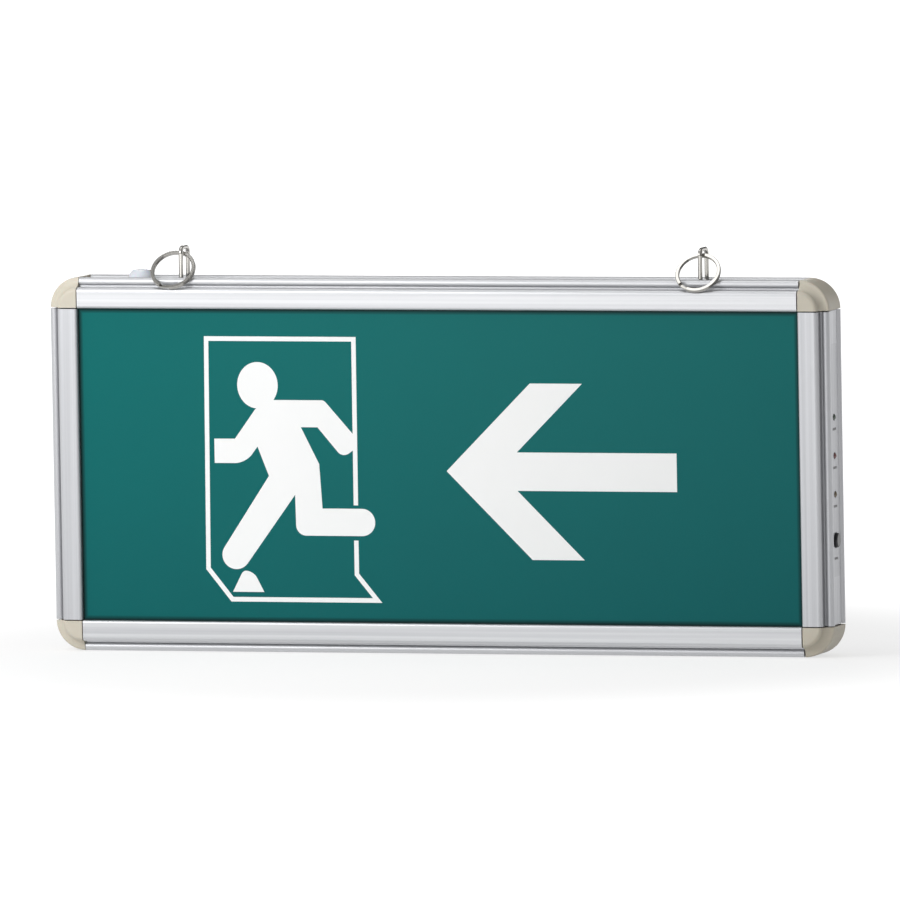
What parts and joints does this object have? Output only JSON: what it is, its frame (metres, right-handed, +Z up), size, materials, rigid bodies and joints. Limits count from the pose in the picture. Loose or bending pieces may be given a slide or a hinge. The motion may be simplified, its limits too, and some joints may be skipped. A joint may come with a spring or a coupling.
{
  "type": "emergency exit light",
  "caption": "Slim hanging safety sign light: aluminium rail frame with rounded corner caps, a green lit panel, wire loops with split rings, side indicator lamps and a test button.",
  "frame": {"origin": "under the middle of the body, on the plane that its bottom rail's beads stand on", "axes": "+X along the sign, to the right as it is read; -Y is the sign's front; +Z up"},
  "size_m": [0.3602, 0.0287, 0.18],
  "materials": {
    "rail_aluminium": "satin anodised, drawn along its length",
    "cap_plastic": "fine moulded",
    "sign_acrylic": "smooth printed",
    "opal_acrylic": "milky",
    "clear_acrylic": "polished",
    "white_film": "matt",
    "back_plastic": "fine textured",
    "insulating_board": "matt",
    "circuit_board": "lacquered",
    "strip_board": "lacquered white",
    "led_chip": "phosphor",
    "plated_wire": "bright nickel plate",
    "zinc_steel": "zinc plate",
    "red_lens": "tinted clear",
    "amber_lens": "tinted clear",
    "green_lens": "tinted clear",
    "black_plastic": "smooth",
    "white_plastic": "smooth",
    "battery_sleeve": "shrink sleeve",
    "ferrite": "matt",
    "winding_tape": "taped winding",
    "can_aluminium": "sleeved",
    "film_case": "smooth",
    "fuse_glass": "clear",
    "terminal_plastic": "smooth",
    "lead_insulation": "smooth"
  },
  "bodies": {
    "housing": {"back_cover": "back_plastic", "battery_clip": "zinc_steel", "battery_leads": "lead_insulation", "battery_pack": "battery_sleeve", "battery_plug": "white_plastic", "board_screws": "zinc_steel", "board_spacers": "white_plastic", "bottom_rail": "rail_aluminium", "cable_grommet": "white_plastic", "capacitor_cans": "can_aluminium", "clip_rivets": "zinc_steel", "control_chip": "black_plastic", "corner_cap_bottom_left": "cap_plastic", "corner_cap_bottom_right": "cap_plastic", "corner_cap_top_left": "cap_plastic", "corner_cap_top_right": "cap_plastic", "diffuser_sheet": "opal_acrylic", "driver_board": "circuit_board", "film_capacitor": "film_case", "hanger_clamps": "zinc_steel", "hanger_loop_left": "plated_wire", "hanger_loop_right": "plated_wire", "hanger_nuts": "zinc_steel", "indicator_lamp_charge": "red_lens", "indicator_lamp_fault": "amber_lens", "indicator_lamp_mains": "green_lens", "insulation_sheet": "insulating_board", "left_rail": "rail_aluminium", "light_guide": "clear_acrylic", "light_strip_board": "strip_board", "light_strip_chips": "led_chip", "mains_fuse": "fuse_glass", "mains_terminal": "terminal_plastic", "reflector_sheet": "white_film", "right_rail": "rail_aluminium", "sign_panel": "sign_acrylic", "strip_leads": "lead_insulation", "strip_plug": "white_plastic", "terminal_screws": "zinc_steel", "test_switch": "black_plastic", "top_rail": "rail_aluminium", "transformer_coil": "winding_tape", "transformer_core": "ferrite"},
    "left_ring": {"split_ring_left": "plated_wire"},
    "right_ring": {"split_ring_right": "plated_wire"},
    "button": {"test_button": "black_plastic"}
  },
  "joints": [
    {"name": "left_ring_swing", "type": "hinge", "parent": "housing", "child": "left_ring", "pos_m": [-0.12, -0.0023, 0.1763], "axis": [-1, 0, 0], "range_deg": [0, 268]},
    {"name": "right_ring_swing", "type": "hinge", "parent": "housing", "child": "right_ring", "pos_m": [0.12, -0.0023, 0.1763], "axis": [-1, 0, 0], "range_deg": [0, 268]},
    {"name": "test_button_press", "type": "slide", "parent": "housing", "child": "button", "axis": [-1, 0, 0], "range_m": [0, 0.0008], "stiffness_N_per_m": 1200, "springref_m": -0.0004}
  ]
}
